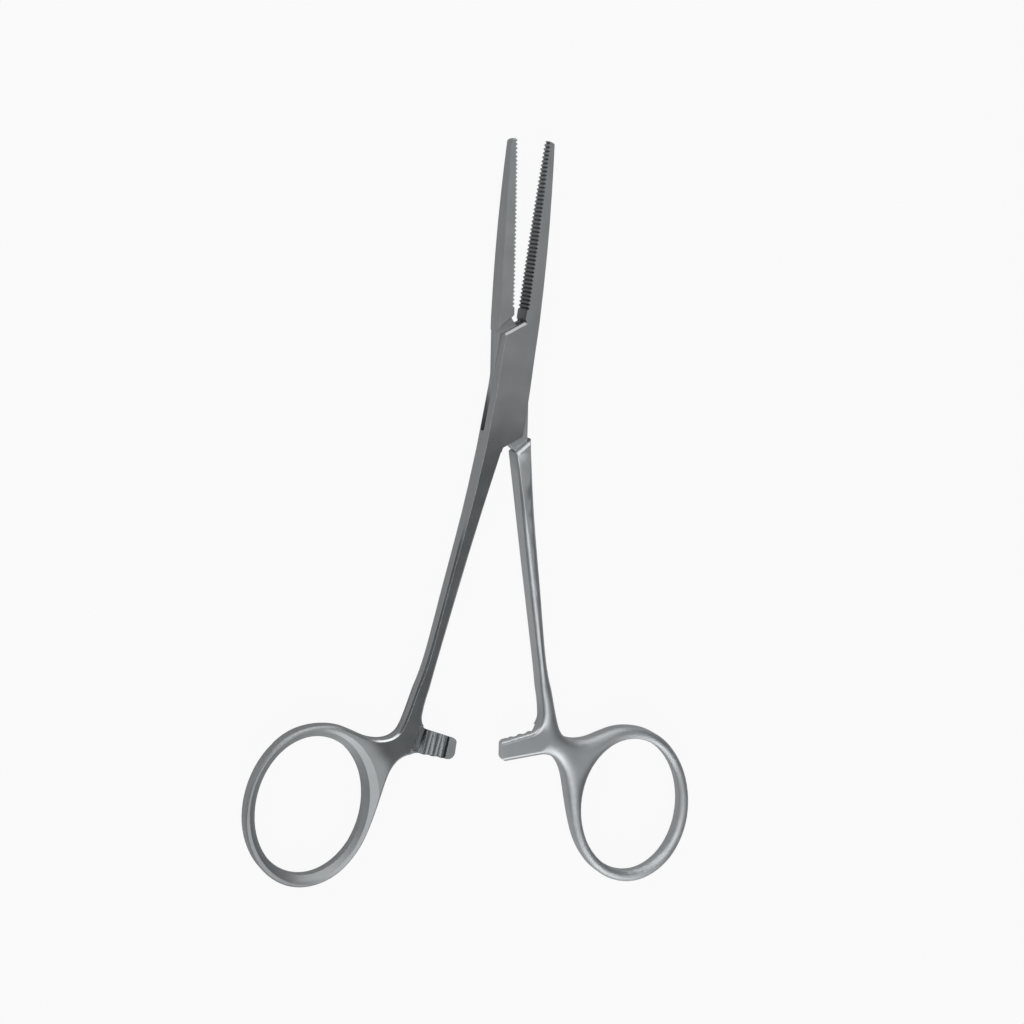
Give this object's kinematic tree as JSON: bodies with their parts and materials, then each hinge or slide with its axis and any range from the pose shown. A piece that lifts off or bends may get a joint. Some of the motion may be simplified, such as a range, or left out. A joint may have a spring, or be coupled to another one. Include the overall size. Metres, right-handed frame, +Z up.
{
  "type": "hemostat forceps",
  "caption": "Straight surgical clamp with ring handles, cross-serrated jaws, a box-lock hinge and facing ratchet arms.",
  "frame": {"origin": "on the hinge axis, at the lower face of the box lock, which the instrument lies on", "axes": "+Y towards the jaw tips, +Z up out of the face it lies on, along the hinge axis, +X across"},
  "size_m": [0.09, 0.1417, 0.005],
  "materials": {
    "steel": "satin"
  },
  "bodies": {
    "box_side": {"box_half": "steel", "pivot_pin": "steel"},
    "tongue_side": {"tongue_half": "steel"}
  },
  "joints": [
    {"name": "box_lock_hinge", "type": "hinge", "parent": "box_side", "child": "tongue_side", "pos_m": [0, 0, 0.0025], "axis": [0, 0, 1], "range_deg": [-8, 52]}
  ]
}
